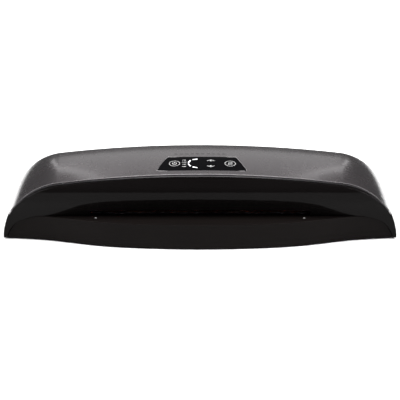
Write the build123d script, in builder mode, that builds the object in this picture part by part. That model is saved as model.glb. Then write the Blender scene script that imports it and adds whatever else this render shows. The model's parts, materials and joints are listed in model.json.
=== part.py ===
"""Desktop pouch laminator, A3 size: an arched casing round a four-roller drive.

Millimetres. X is the width, Y runs to the back, Z is up. The origin is on the resting
surface, under the middle of the machine.
"""
from build123d import *
import math
import os

os.makedirs("parts", exist_ok=True)

# Casing
crest_half_width = 298.5
crest_height = 117.5
arm_taper = 5.0
cover_drop = 14.6
fascia_step = 4.7
foot_height = 2.5
body_front_y = -37.5
crest_y = 57.0
rear_y = 82.5
lip_y = -82.5
wall = 2.4
part_gap = 0.4
rear_round = 18.0
body_stations = 5
cover_foot_z = 40.0
floor_top = foot_height + wall
bulge = 9.4
base_setback = 7.4
fascia_half_width = crest_half_width - arm_taper
cover_front_top = crest_height - cover_drop
fascia_top = cover_front_top - fascia_step

# Shelf and its skirt
shelf_top = 38.0
shelf_inset = 57.5
shelf_half_width = fascia_half_width - shelf_inset
skirt = 3.0
# The skirt's plan line, as shares of the fascia's half width and distances behind the lip
skirt_line = ((0.273, 4.0), (0.514, 15.5), (0.647, 28.0), (0.76, 39.0), (0.869, 45.5),
              (0.995, 51.0))
# The fascia's side profile, as shares of its height and of its bulge
bulge_top = (0.866, 0.77)
bulge_middle = (0.703, 1.0)
bulge_low = 0.499
bulge_foot = 0.285

# Trim strip in the shadow gap
trim_gap = 0.4
trim_width = 1.3
trim_depth = 1.2

# Sheet path and rollers
nip_z = 41.5
roller_radius = 11.0
nip_gap = 0.3
sleeve_half_length = 165.0
sleeve_wall = 4.0
shaft_radius = 4.0
running_fit = 0.05
hot_y = -4.0
exit_y = 36.0
lower_z = nip_z - nip_gap / 2 - roller_radius
upper_z = nip_z + nip_gap / 2 + roller_radius

# Side frames
frame_x = 176.0
frame_plate = 1.6
frame_front_y = -31.0
frame_back_y = 76.0
frame_foot_z = floor_top + 2.6
frame_top_z = 78.0
frame_flange = 11.0
frame_foot_inset = 5.0
frame_foot_length = 14.0
lug_fit = 0.2

# Bearings and pressure springs
bush_wall = 2.0
bush_flange = 1.5
block_width = 12.0
block_half_height = 7.0
block_fit = 0.15
block_flange = 1.6
spring_length = 12.0
spring_radius = 3.1
spring_wire = 0.45
spring_turns = 6
end_gap = 0.3

# Heater plates and sheet guides
plate_gap = 3.8
plate_thickness = 6.0
plate_front_y = -30.6
duct_gap = 4.4
exit_gap = 6.4
duct_wall = 2.2
slot_half_width = 163.5
slot_side_top = 46.5
slot_crown = 3.0
rear_slot_margin = 1.3

# Gears
module = 1.0
roller_teeth = round(2 * roller_radius / module)
pinion_teeth = 14
tooth_play = 0.15
addendum = 0.85
gear_face = 6.0
gear_x = frame_x + frame_plate + 3.4
pinion_angle = 5.0
motor_offset = 6.0
stud_radius = 3.0
motor_radius = 23.0
gearbox_depth = 11.0
motor_depth = 18.0
bracket_plate = 1.6
standoff_radius = 3.0

# Control panel
panel_front_half = 67.7
panel_back_half = 51.5
panel_depth = 42.4
panel_mid_y = -8.5
panel_shift = 2.7
panel_corner = 3.0
lens_thickness = 2.2
lens_gap = 0.2
ledge_gap = 0.1
ledge_thickness = 1.7
key_travel = 0.5
key_gap = 0.3
key_flange = 1.0
key_stem = 2.0
round_keys = ("key_power", "key_reverse")
round_key_radius = 8.3
arrow_key_width = 14.0
arrow_key_length = 9.0
arrow_key_corner = 2.5
key_places = {
    "key_power": (-38.0, 0.0),
    "key_reverse": (45.0, 0.0),
    "key_up": (16.0, 9.4),
    "key_down": (16.0, -9.4),
}
light_centre_x = -4.2
light_radius = 12.8
light_count = 4
light_pitch = 50.0
light_width = 1.8
light_length = 7.4
board_depth = 9.5
board_thickness = 1.6
board_half_width = 76.0
board_length = 32.0
board_post_x = 71.5
switch_size = 6.0
louvre_count = 10
louvre_pitch = 8.0
louvre_length = 5.2
louvre_width = 1.4
louvre_y = 23.5

# Fasteners, posts and feet
post_radius = 4.5
post_foot_z = 30.0
post_inset = 52.5
post_x = crest_half_width - post_inset
post_front_y = -12.0
post_back_y = 58.0
screw_radius = 1.5
screw_head_radius = 2.8
screw_head_height = 2.0
screw_recess = 4 * screw_head_height
screw_bite = 12.0
pad_radius = 8.0
pad_recess = 1.0
pad_inset = 36.5
pad_x = crest_half_width - pad_inset
pad_front_y = -14.0
pad_back_y = 62.0

# Vents and the base's overlap with the skirt
vent_pitch = 14.0
vent_row_pitch = 26.0
vent_width = 3.0
floor_vent_count = 22
floor_vent_rows = 3
floor_vent_length = 20.0
rear_vent_count = 20
rear_vent_length = 12.0
lip_overlap = 14.0

# Rear panel, inlet and power board
rear_panel_inset = 83.5
rear_panel_half = crest_half_width - rear_panel_inset
rear_panel_low = 14.0
rear_panel_high = 62.0
inlet_x = -196.0
inlet_z = 30.0
inlet_width = 26.0
inlet_height = 18.0
inlet_depth = 17.0
inlet_wall = 1.8
blade_width = 2.0
blade_height = 4.0
blade_reach = 7.0
blade_drop = 2.0
earth_rise = 2.5
blade_recess = 2.0
board_back_y = 55.0
power_board_length = 84.0
power_board_width = 50.0
power_board_z = 14.0
power_board_x = -212.0
transformer_size = (28.0, 28.0, 24.0)
transformer_place = (-2.0, -20.0)
relay_size = (15.0, 20.0, 15.0)
relay_place = (-8.5, 24.0)
filter_size = (12.0, 20.0, 10.0)
filter_place = (9.0, 24.0)
capacitor_radius = 5.0
capacitor_height = 14.0
capacitor_places = ((-10.0, 6.0), (4.0, 6.0))


# ---------------------------------------------------------------- casing surfaces

# Where each end arch passes from crown to shoulder and from shoulder to side, as shares
# of its half width and of its height above the foot
front_arch = ((0.72, 0.862), (0.95, 0.455))
crest_arch = ((0.72, 0.893), (0.95, 0.415))


def arch_points(half_width, top, blend):
    """Crown, two joints and foot of the right half of an arch."""
    rise = top - foot_height
    joints = [
        (half_width * ((1 - blend) * f[0] + blend * c[0]),
         foot_height + rise * ((1 - blend) * f[1] + blend * c[1]))
        for f, c in zip(front_arch, crest_arch)
    ]
    return [(0, top)] + joints + [(half_width, foot_height)]


def arch_face(half_width, top, blend):
    """The flat face under an arch of six tangent arcs."""
    points = arch_points(half_width, top, blend)
    with BuildSketch() as face:
        with BuildLine():
            for side in (1, -1):
                heading = Vector(side, 0)
                for start, end in zip(points, points[1:]):
                    arc = TangentArc((side * start[0], start[1]), (side * end[0], end[1]),
                                     tangent=heading)
                    heading = arc % 1
            Line((-half_width, foot_height), (half_width, foot_height))
        make_face()
    return face.sketch


def crown(y):
    """Height of the casing's middle line, a parabola that levels out at the crest."""
    share = (crest_y - min(y, crest_y)) / (crest_y - body_front_y)
    return crest_height - (crest_height - cover_front_top) * share**2


def body_arch(y):
    """Half width, top and blend of the casing's arch at one Y."""
    clamped = max(body_front_y, y)
    share = max(0.0, (crest_y - clamped) / (crest_y - body_front_y))
    blend = 1 - share**2
    half = fascia_half_width + (crest_half_width - fascia_half_width) * blend
    return half, crown(clamped), blend


def body_section(y, shrink):
    """The casing's cross section at one Y, drawn in on all sides."""
    half, top, blend = body_arch(y)
    return arch_face(half - shrink, top - shrink, blend)


def body_skin(inset):
    """Everything inside the casing's outer surface, moved in by an inset."""
    bend = rear_round - inset
    bend_y = rear_y - rear_round
    start_y = body_front_y - inset
    with BuildPart() as skin:
        for step in range(body_stations):
            y = start_y + (bend_y - start_y) * step / (body_stations - 1)
            with BuildSketch(Plane.XZ.offset(-y)):
                add(body_section(y, inset))
        loft()
        for angle in (0, 30, 60, 90):
            turn = math.radians(angle)
            with BuildSketch(Plane.XZ.offset(-bend_y - bend * math.sin(turn))):
                add(body_section(bend_y, inset + bend * (1 - math.cos(turn))))
        loft()
    return skin.part


outer_skin = body_skin(0)
inner_skin = body_skin(wall)


def under_skin(depth):
    """The casing solid dropped by a depth, for pieces that follow the cover."""
    return outer_skin.moved(Location((0, 0, -depth)))


def front_slab(back_by, reach):
    """A full-width slab whose front follows the fascia's side profile."""
    front = [
        (body_front_y - 2.9, fascia_top + 4),
        (body_front_y - 3.1, fascia_top),
        (body_front_y - 3.1 - bulge_top[1] * bulge, bulge_top[0] * fascia_top),
        (body_front_y - 3.1 - bulge, bulge_middle[0] * fascia_top),
        (body_front_y - 6.0, bulge_low * fascia_top),
        (body_front_y - 0.7, bulge_foot * fascia_top),
        (body_front_y + 2.9, foot_height),
        (body_front_y + 3.1, 0.0),
    ]
    front = [(y + back_by, z) for y, z in front]
    with BuildPart() as slab:
        with BuildSketch(Plane.YZ):
            with BuildLine():
                Spline(*front)
                Polyline(front[-1], (reach, front[-1][1]), (reach, front[0][1]), front[0])
            make_face()
        extrude(amount=crest_half_width + 10, both=True)
    return slab.part


def front_hoop(grow, inset, y_front, y_back):
    """The front arch grown or drawn in, as a block, or as a hoop when it has an inset."""
    with BuildPart() as hoop:
        with BuildSketch(Plane.XZ.offset(-y_back)):
            add(arch_face(fascia_half_width + grow, fascia_top + grow, 0))
            if inset:
                inner_half = fascia_half_width + grow - inset
                add(arch_face(inner_half, fascia_top + grow - inset, 0), mode=Mode.SUBTRACT)
        extrude(amount=y_back - y_front)
    return hoop.part


def lip_points(back_by):
    """The skirt's plan line, bowed out at the middle and blending into the arms."""
    right = [(share * fascia_half_width, lip_y + behind) for share, behind in skirt_line]
    full = [(-x, y) for x, y in reversed(right)] + [(0, lip_y)] + right
    return [(x, y + back_by) for x, y in full]


def lip_face(start_back, end_y):
    """Plan face from the skirt's line, moved back, to a straight rear edge."""
    points = lip_points(start_back)
    with BuildSketch() as face:
        with BuildLine():
            Spline(*points)
            Polyline(points[-1], (points[-1][0], end_y), (points[0][0], end_y), points[0])
        make_face()
    return face.sketch


def leaf_region(gap):
    """Everything under the shelf line and the arms, seen from the front."""
    right = [
        (shelf_half_width, shelf_top + gap),
        (shelf_half_width + 16 + gap / 2, shelf_top - 2.9 + gap),
        (shelf_half_width + 33 + gap, shelf_top - 9.0 + gap),
        (shelf_half_width + 45 + gap, shelf_top - 20.0 + gap / 2),
        (fascia_half_width - 4.6 + gap, foot_height),
    ]
    left = [(-x, z) for x, z in reversed(right)]
    with BuildPart() as region:
        with BuildSketch(Plane.XZ.offset(-body_front_y)):
            with BuildLine():
                Spline(*right, tangents=((1, 0), (0.45, -1)))
                Polyline(right[-1], (right[-1][0], -1), (left[0][0], -1), left[0])
                Spline(*left, tangents=((0.45, 1), (1, 0)))
                Line(left[-1], right[0])
            make_face()
        extrude(amount=60, both=True)
    return region.part


def slab(x_low, x_high, y_low, y_high, z_low, z_high):
    """A box between six limits."""
    size = (x_high - x_low, y_high - y_low, z_high - z_low)
    place = Location(((x_low + x_high) / 2, (y_low + y_high) / 2, (z_low + z_high) / 2))
    return Solid.make_box(*size).moved(place * Location((-size[0] / 2, -size[1] / 2,
                                                         -size[2] / 2)))


def wide(half_x, y_low, y_high, z_low, z_high):
    """A box centred on the machine's middle plane."""
    return slab(-half_x, half_x, y_low, y_high, z_low, z_high)


# ---------------------------------------------------------------- control panel surface

panel_slope = (2 * (crest_height - cover_front_top) * (crest_y - panel_mid_y)
               / (crest_y - body_front_y) ** 2)
panel_tilt = math.atan(panel_slope)
panel_plane = Plane(
    origin=(0, panel_mid_y, crown(panel_mid_y)),
    x_dir=(1, 0, 0),
    z_dir=(0, -math.sin(panel_tilt), math.cos(panel_tilt)),
)


def cover_height(x, y):
    """Height of the cover's outer surface over a point near its middle."""
    half, top, blend = body_arch(y)
    joint = arch_points(half, top, blend)[1]
    fall = top - joint[1]
    radius = (joint[0] ** 2 + fall**2) / (2 * fall)
    return top - radius + math.sqrt(radius**2 - x**2)


def panel_spot(place):
    """The panel's tilted plane, moved to a place on the cover's own surface."""
    across, along = place
    y = panel_mid_y + along * math.cos(panel_tilt)
    return Plane(origin=(across, y, cover_height(across, y)), x_dir=(1, 0, 0),
                 z_dir=panel_plane.z_dir)


def panel_prism(grow, above, below):
    """The lens outline as a prism through the cover, square to the panel."""
    front = panel_front_half + grow
    back = panel_back_half + grow
    half = panel_depth / 2 + grow
    with BuildPart() as prism:
        with BuildSketch(panel_plane.offset(-below)) as outline:
            Polygon((panel_shift - front, -half), (panel_shift + front, -half),
                    (panel_shift + back, half), (panel_shift - back, half), align=None)
            fillet(outline.vertices(), panel_corner)
        extrude(amount=above + below)
    return prism.part


def key_prism(name, grow, top_depth, bottom_depth):
    """A key's outline as a prism between two depths under the panel surface."""
    with BuildPart() as prism:
        with BuildSketch(panel_spot(key_places[name]).offset(-bottom_depth)):
            if name in round_keys:
                Circle(round_key_radius + grow)
            else:
                RectangleRounded(arrow_key_width + 2 * grow, arrow_key_length + 2 * grow,
                                 arrow_key_corner)
        extrude(amount=bottom_depth - top_depth)
    return prism.part


def light_bars(grow, top_depth, bottom_depth):
    """Four curved bars on one arc, as prisms between two depths."""
    first = 180 - light_pitch * (light_count - 1) / 2
    with BuildPart() as bars:
        with BuildSketch(panel_plane.offset(-bottom_depth)):
            with Locations((light_centre_x, 0)):
                with PolarLocations(light_radius, light_count, start_angle=first,
                                    angular_range=light_pitch * light_count):
                    RectangleRounded(light_width + 2 * grow, light_length + 2 * grow,
                                     light_width / 3)
        extrude(amount=bottom_depth - top_depth)
    return bars.part


def save(piece, name):
    """Label a finished piece and write its STEP file."""
    piece.part.label = name
    export_step(piece.part, f"parts/{name}.step")


# ---------------------------------------------------------------- covers and casing

post_places = [(x, y) for x in (-post_x, post_x) for y in (post_front_y, post_back_y)]
pad_places = [(x, y) for x in (-pad_x, pad_x) for y in (pad_front_y, pad_back_y)]
board_post_places = [(-board_post_x, 0), (board_post_x, 0)]
far = 400.0

with BuildPart() as top_cover:
    add(outer_skin)
    add(inner_skin, mode=Mode.SUBTRACT)
    add(wide(far, -far, far, 0, cover_foot_z), mode=Mode.SUBTRACT)
    add(wide(rear_panel_half + part_gap, rear_y - 2 * wall, rear_y + wall,
             rear_panel_low, rear_panel_high + part_gap), mode=Mode.SUBTRACT)
    add(panel_prism(lens_gap, 10, 12), mode=Mode.SUBTRACT)
    add(((panel_prism(3.0, 10, 12) - panel_prism(-2.5, 12, 14))
         & under_skin(lens_thickness + ledge_gap))
        - under_skin(lens_thickness + ledge_gap + ledge_thickness))
    with BuildSketch(Plane.XY.offset(post_foot_z)) as posts:
        with Locations(*post_places):
            Circle(post_radius)
            Circle(screw_radius + running_fit, mode=Mode.SUBTRACT)
    with BuildSketch(panel_plane.offset(-board_depth)) as board_posts:
        with Locations(*board_post_places):
            Circle(2 * screw_radius)
    post_solids = extrude(posts.sketch, amount=crest_height, mode=Mode.PRIVATE)
    board_post_solids = extrude(board_posts.sketch, amount=2 * board_depth, mode=Mode.PRIVATE)
    add((post_solids + board_post_solids) & under_skin(wall / 2))
    with BuildSketch(Plane.XY.offset(crest_height + 1)):
        with Locations((0, louvre_y)):
            with GridLocations(louvre_pitch, 1, louvre_count, 1):
                SlotOverall(louvre_length, louvre_width)
    extrude(amount=-4 * wall, mode=Mode.SUBTRACT)
save(top_cover, "top_cover")

with BuildPart() as front_fascia:
    add(front_hoop(0, 0, body_front_y - 4 * bulge, 0))
    add(front_slab(0, 0), mode=Mode.INTERSECT)
    add(front_slab(wall, 5), mode=Mode.SUBTRACT)
    add(front_hoop(0, wall, body_front_y - 4 * bulge, body_front_y - part_gap)
        & front_slab(0, 0))
    add(front_hoop(0, wall, body_front_y - 4 * bulge, body_front_y + base_setback - part_gap)
        & front_slab(0, 0) & wide(far, -far, far, 0, cover_foot_z - part_gap))
    add(front_hoop(-3, 2, body_front_y - 3.2, body_front_y + 7)
        & wide(far, -far, far, cover_foot_z + 15, far))
    add(leaf_region(part_gap), mode=Mode.SUBTRACT)
    with BuildSketch(Plane.XZ.offset(60)):
        with BuildLine():
            ThreePointArc((-slot_half_width, slot_side_top), (0, slot_side_top + slot_crown),
                          (slot_half_width, slot_side_top))
            Polyline((slot_half_width, slot_side_top), (slot_half_width, shelf_top - 2),
                     (-slot_half_width, shelf_top - 2), (-slot_half_width, slot_side_top))
        make_face()
    extrude(amount=-40, mode=Mode.SUBTRACT)
save(front_fascia, "front_fascia")

trim_back = body_front_y - part_gap / 2
with BuildPart() as trim_strip:
    add(front_hoop(trim_gap + trim_width, trim_width, trim_back - trim_depth, trim_back))
    add(wide(far, -far, far, 0, cover_foot_z + 6), mode=Mode.SUBTRACT)
save(trim_strip, "trim_strip")

with BuildPart() as feed_shelf:
    with BuildSketch(Plane.XY.offset(foot_height)):
        add(lip_face(0, 0) - lip_face(skirt, 0))
    extrude(amount=shelf_top - foot_height)
    add(leaf_region(0), mode=Mode.INTERSECT)
    with BuildSketch(Plane.XY.offset(shelf_top - wall)) as shelf_plan:
        add(lip_face(skirt / 2, 0))
    add(extrude(shelf_plan.sketch, amount=wall, mode=Mode.PRIVATE)
        & wide(shelf_half_width - 2, -far, body_front_y + 1.2, 0, far))
    fillet(feed_shelf.edges().filter_by(
        lambda e: abs(e.center().Z - shelf_top) < 0.2 and e.center().Y < lip_y + skirt), 0.8)
save(feed_shelf, "feed_shelf")

base_front_back = skirt + part_gap
foot_middle = frame_foot_inset + frame_foot_length / 2
with BuildPart() as base_housing:
    add(outer_skin & wide(far, -far, far, 0, cover_foot_z - part_gap))
    add(inner_skin & wide(far, -far, far, floor_top, far), mode=Mode.SUBTRACT)
    add(wide(far, -far, body_front_y + base_setback, 0, far), mode=Mode.SUBTRACT)
    with BuildSketch(Plane.XY.offset(foot_height)):
        add(lip_face(base_front_back, body_front_y + lip_overlap))
    extrude(amount=wall)
    add(wide(rear_panel_half + part_gap, rear_y - 2 * wall, rear_y + wall,
             rear_panel_low - part_gap, far), mode=Mode.SUBTRACT)
    with BuildSketch(Plane.XY.offset(foot_height)):
        with Locations(*post_places):
            Circle(post_radius)
    extrude(amount=post_foot_z - foot_height - part_gap / 4)
    with BuildSketch(Plane.XY.offset(foot_height)):
        with Locations(*post_places):
            Circle(screw_radius + 0.2)
    extrude(amount=post_foot_z, mode=Mode.SUBTRACT)
    with BuildSketch(Plane.XY.offset(foot_height)):
        with Locations(*post_places):
            Circle(screw_head_radius + 0.4)
    extrude(amount=screw_recess, mode=Mode.SUBTRACT)
    with BuildSketch(Plane.XY.offset(foot_height)):
        with Locations(*pad_places):
            Circle(pad_radius + 0.1)
    extrude(amount=pad_recess, mode=Mode.SUBTRACT)
    with BuildSketch(Plane.XY.offset(floor_top)):
        for side in (-1, 1):
            middle = side * (frame_x + frame_plate / 2 - frame_flange / 2)
            with Locations((middle, frame_front_y + foot_middle),
                           (middle, frame_back_y - foot_middle)):
                Rectangle(frame_flange - 2, frame_foot_length - 2)
    extrude(amount=frame_foot_z - floor_top)
    with BuildSketch(Plane.XY.offset(foot_height)):
        with GridLocations(vent_pitch, vent_row_pitch, floor_vent_count, floor_vent_rows):
            SlotOverall(floor_vent_length, vent_width, rotation=90)
    extrude(amount=wall, mode=Mode.SUBTRACT)
    with BuildSketch(Plane.XY):
        add(lip_face(0, 0) - lip_face(base_front_back, 0))
    extrude(amount=cover_foot_z, mode=Mode.SUBTRACT)
save(base_housing, "base_housing")

with BuildPart() as foot_pads:
    with BuildSketch(Plane.XY):
        with Locations(*pad_places):
            Circle(pad_radius)
    extrude(amount=foot_height + pad_recess)
    chamfer(foot_pads.faces().sort_by(Axis.Z)[:4].edges(), 0.5)
save(foot_pads, "foot_pads")

with BuildPart() as rear_panel:
    add(wide(rear_panel_half, rear_y - wall, rear_y, rear_panel_low, rear_panel_high))
    add(wide(slot_half_width + rear_slot_margin, rear_y - 2 * wall, rear_y + wall,
             nip_z - exit_gap / 2 - rear_slot_margin, nip_z + exit_gap / 2 + rear_slot_margin),
        mode=Mode.SUBTRACT)
    with BuildSketch(Plane.XZ.offset(-rear_y - 1)):
        with Locations((0, rear_panel_low + rear_vent_length / 2 + 2 * wall)):
            with GridLocations(vent_pitch, 1, rear_vent_count, 1):
                SlotOverall(rear_vent_length, vent_width, rotation=90)
        with Locations((inlet_x, inlet_z)):
            Rectangle(inlet_width + 2 * lug_fit, inlet_height + 2 * lug_fit)
    extrude(amount=2 * wall, mode=Mode.SUBTRACT)
save(rear_panel, "rear_panel")

with BuildPart() as mains_inlet:
    with BuildSketch(Plane.XZ.offset(-rear_y)):
        with Locations((inlet_x, inlet_z)):
            RectangleRounded(inlet_width, inlet_height, 2)
    extrude(amount=inlet_depth)
    with BuildSketch(Plane.XZ.offset(-rear_y)):
        with Locations((inlet_x, inlet_z)):
            RectangleRounded(inlet_width - 2 * inlet_wall, inlet_height - 2 * inlet_wall, 2)
    extrude(amount=inlet_depth - inlet_wall, mode=Mode.SUBTRACT)
save(mains_inlet, "mains_inlet")

with BuildPart() as inlet_blades:
    with BuildSketch(Plane.XZ.offset(-rear_y + blade_recess)):
        with Locations((inlet_x - blade_reach, inlet_z - blade_drop),
                       (inlet_x + blade_reach, inlet_z - blade_drop),
                       (inlet_x, inlet_z + earth_rise)):
            Rectangle(blade_width, blade_height)
    extrude(amount=inlet_depth - inlet_wall - blade_recess)
save(inlet_blades, "inlet_blades")


# ---------------------------------------------------------------- control panel

with BuildPart() as panel_lens:
    add(panel_prism(0, 10, 12) & outer_skin)
    add(under_skin(lens_thickness), mode=Mode.SUBTRACT)
    for key in key_places:
        add(key_prism(key, key_gap, -4, 8), mode=Mode.SUBTRACT)
    add(light_bars(running_fit, -4, 8), mode=Mode.SUBTRACT)
save(panel_lens, "panel_lens")

key_top = 0.1
flange_top = lens_thickness + key_gap + 0.1
switch_top = 6.4
stem_end = switch_top - key_travel - 0.1
for key, place in key_places.items():
    with BuildPart() as key_cap:
        add(key_prism(key, 0, -4, flange_top + key_flange) & under_skin(key_top))
        add(key_prism(key, key_flange, flange_top, flange_top + key_flange))
        with BuildSketch(panel_spot(place).offset(-stem_end)):
            Circle(key_stem)
        extrude(amount=stem_end - flange_top - key_flange)
    save(key_cap, key)

with BuildPart() as light_guide:
    add(light_bars(0, -4, lens_thickness + 2.4) & under_skin(0.05))
    first_angle = 180 - light_pitch * light_count / 2
    with BuildSketch(panel_plane.offset(-lens_thickness - 2.4)):
        with Locations((light_centre_x, 0)):
            Circle(light_radius + light_width)
            Circle(light_radius - light_width, mode=Mode.SUBTRACT)
            with Locations((light_radius + 1.0, 0)):
                Rectangle(2 * light_radius, 4 * light_radius, mode=Mode.SUBTRACT)
    extrude(amount=1.4)
save(light_guide, "light_guide")

with BuildPart() as control_board:
    with BuildSketch(panel_plane.offset(-board_depth)):
        RectangleRounded(2 * board_half_width, board_length, 2)
        with Locations(*board_post_places):
            Circle(screw_radius + 0.1, mode=Mode.SUBTRACT)
    extrude(amount=-board_thickness)
save(control_board, "control_board")

with BuildPart() as key_switches:
    for place in key_places.values():
        spot = panel_spot(place)
        base_gap = (spot.origin - panel_plane.origin).dot(panel_plane.z_dir) + board_depth
        with BuildSketch(spot.offset(-base_gap)):
            Rectangle(switch_size, switch_size)
        extrude(amount=base_gap - switch_top - 1)
        with BuildSketch(spot.offset(-switch_top - 1)):
            Circle(1.7)
        extrude(amount=1)
save(key_switches, "key_switches")

with BuildPart() as status_leds:
    with BuildSketch(panel_plane.offset(-board_depth)):
        with Locations((light_centre_x, 0)):
            with PolarLocations(light_radius, light_count,
                                start_angle=180 - light_pitch * (light_count - 1) / 2,
                                angular_range=light_pitch * light_count):
                Rectangle(1.6, 3.2)
    extrude(amount=1.2)
save(status_leds, "status_leds")


# ---------------------------------------------------------------- frames

bush_outer = shaft_radius + bush_wall
block_slot_low = upper_z - block_half_height
block_slot_high = upper_z + block_half_height + spring_length
lower_tie_z = 15.0
upper_tie_z = 71.0
tie_radius = 4.0
tie_places = [(frame_front_y + 8, lower_tie_z), (frame_back_y - 10, lower_tie_z),
              ((hot_y + exit_y) / 2, upper_tie_z)]
heater_lug = (plate_front_y + 3.0, plate_front_y + 11.0)
middle_front_y = hot_y + roller_radius + 1.5
middle_back_y = exit_y - roller_radius - 1.5
middle_lug = (middle_front_y + 3, middle_back_y - 3)
duct_front_y = exit_y + roller_radius + 1.5
duct_lug = (duct_front_y + 6.0, duct_front_y + 18.0)
heater_low = nip_z - plate_gap / 2 - plate_thickness
heater_high = nip_z + plate_gap / 2 + plate_thickness
guide_sheet = 1.0
lug_height = 3.0
lugs = [
    (heater_lug, heater_low, heater_low + lug_height),
    (heater_lug, heater_high - lug_height, heater_high),
    (middle_lug, nip_z - plate_gap / 2 - guide_sheet, nip_z - plate_gap / 2),
    (middle_lug, nip_z + plate_gap / 2, nip_z + plate_gap / 2 + guide_sheet),
    (duct_lug, nip_z - exit_gap / 2 - duct_wall, nip_z + exit_gap / 2 + duct_wall),
]
standoff_places = [(exit_y - 12, upper_z + 12), (frame_back_y - 5, upper_z + 12),
                   (frame_back_y - 5, lower_z - 12), (exit_y - 12, lower_z - 15)]
stud_y = (hot_y + exit_y) / 2

for side, name in ((-1, "side_frame_left"), (1, "side_frame_right")):
    with BuildPart() as frame:
        with BuildSketch(Plane.YZ.offset(side * frame_x + (0 if side > 0 else -frame_plate))):
            with Locations(((frame_front_y + frame_back_y) / 2,
                            (frame_foot_z + frame_top_z) / 2)):
                Rectangle(frame_back_y - frame_front_y, frame_top_z - frame_foot_z)
            with Locations((hot_y, lower_z), (exit_y, lower_z)):
                Circle(bush_outer, mode=Mode.SUBTRACT)
            with Locations(*[(y, (block_slot_low + block_slot_high) / 2)
                             for y in (hot_y, exit_y)]):
                Rectangle(block_width, block_slot_high - block_slot_low, mode=Mode.SUBTRACT)
            for (lug_front, lug_back), low, high in lugs:
                with Locations(((lug_front + lug_back) / 2, (low + high) / 2)):
                    Rectangle(lug_back - lug_front + 2 * lug_fit, high - low + 2 * lug_fit,
                              mode=Mode.SUBTRACT)
            with Locations(*tie_places):
                Circle(screw_radius + lug_fit, mode=Mode.SUBTRACT)
        extrude(amount=frame_plate)
        outside = side * (frame_x + frame_plate)
        inside = side * (frame_x + frame_plate - frame_flange)
        low_x, high_x = min(inside, outside), max(inside, outside)
        for foot_y in (frame_front_y + foot_middle, frame_back_y - foot_middle):
            add(slab(low_x, high_x, foot_y - frame_foot_length / 2,
                     foot_y + frame_foot_length / 2, frame_foot_z,
                     frame_foot_z + frame_plate))
        add(slab(low_x, high_x, frame_front_y, frame_back_y,
                 frame_top_z - frame_plate, frame_top_z))
    save(frame, name)

with BuildPart() as tie_bars:
    with BuildSketch(Plane.YZ.offset(-frame_x)):
        with Locations(*tie_places):
            Circle(tie_radius)
            Circle(screw_radius + running_fit, mode=Mode.SUBTRACT)
    extrude(amount=2 * frame_x)
save(tie_bars, "tie_bars")

with BuildPart() as heat_shield:
    add(wide(frame_x + frame_plate + 4, frame_front_y + 2, frame_back_y - 4,
             frame_top_z, frame_top_z + 0.8))
    for side in (-1, 1):
        outside = side * (frame_x + frame_plate + 4)
        inside = outside - side * 0.8
        add(slab(min(inside, outside), max(inside, outside), frame_front_y + 2,
                 frame_back_y - 4, frame_top_z - 5, frame_top_z))
    with BuildSketch(Plane.XY.offset(frame_top_z)):
        with Locations((0, (frame_front_y + frame_back_y) / 2)):
            with GridLocations(22, 44, 12, 2):
                SlotOverall(16, 3)
    extrude(amount=2, mode=Mode.SUBTRACT)
save(heat_shield, "heat_shield")


# ---------------------------------------------------------------- heaters and guides

plate_back_y = hot_y - roller_radius - 1.0
for name, low, lug_low in (("heater_plate_lower", heater_low, heater_low),
                           ("heater_plate_upper", heater_high - plate_thickness,
                            heater_high - lug_height)):
    with BuildPart() as heater_plate:
        add(wide(frame_x - 1, plate_front_y, plate_back_y, low, low + plate_thickness))
        add(wide(frame_x + frame_plate + 1, *heater_lug, lug_low, lug_low + lug_height))
        fillet(heater_plate.edges().filter_by(Axis.X).filter_by(
            lambda e: abs(e.center().Z - nip_z) < plate_gap
            and abs(e.center().Y - plate_front_y) < 0.1), 1.5)
    save(heater_plate, name)

with BuildPart() as heater_elements:
    add(wide(frame_x - 8, plate_front_y + 2, plate_back_y - 2, heater_low - 1.2, heater_low))
    add(wide(frame_x - 8, plate_front_y + 2, plate_back_y - 2, heater_high,
             heater_high + 1.2))
save(heater_elements, "heater_elements")

with BuildPart() as thermal_cutout:
    with BuildSketch(Plane.XY.offset(heater_high + 1.2)):
        with Locations((-60, (plate_front_y + plate_back_y) / 2)):
            Circle(4.5)
    extrude(amount=5)
    with BuildSketch(Plane.XY.offset(heater_high + 1.2)):
        with Locations((-60, (plate_front_y + plate_back_y) / 2)):
            Rectangle(18, 3)
    extrude(amount=0.8)
save(thermal_cutout, "thermal_cutout")

with BuildPart() as guide_sheets:
    for low in (nip_z - plate_gap / 2 - guide_sheet, nip_z + plate_gap / 2):
        add(wide(frame_x - 1, middle_front_y, middle_back_y, low, low + guide_sheet))
        add(wide(frame_x + frame_plate + 1, *middle_lug, low, low + guide_sheet))
save(guide_sheets, "guide_sheets")

entry_back_y = plate_front_y - 0.5
entry_front_y = body_front_y + 1.5
with BuildPart() as entry_guide:
    with BuildSketch(Plane.YZ.offset(-slot_half_width - duct_wall)):
        Polygon((entry_front_y, shelf_top - wall), (entry_back_y, shelf_top - wall),
                (entry_back_y, nip_z - duct_gap / 2), (entry_front_y, shelf_top),
                align=None)
        Polygon((entry_front_y - 3, slot_side_top + slot_crown + 1),
                (entry_front_y - 3, slot_side_top + 1),
                (entry_back_y, nip_z + duct_gap / 2),
                (entry_back_y, slot_side_top + slot_crown + 1), align=None)
    extrude(amount=2 * (slot_half_width + duct_wall))
    for side in (-1, 1):
        outer = side * (slot_half_width + duct_wall)
        inner = side * slot_half_width
        add(slab(min(inner, outer), max(inner, outer), entry_front_y, entry_back_y,
                 shelf_top - wall, slot_side_top + slot_crown + 1))
save(entry_guide, "entry_guide")

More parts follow.
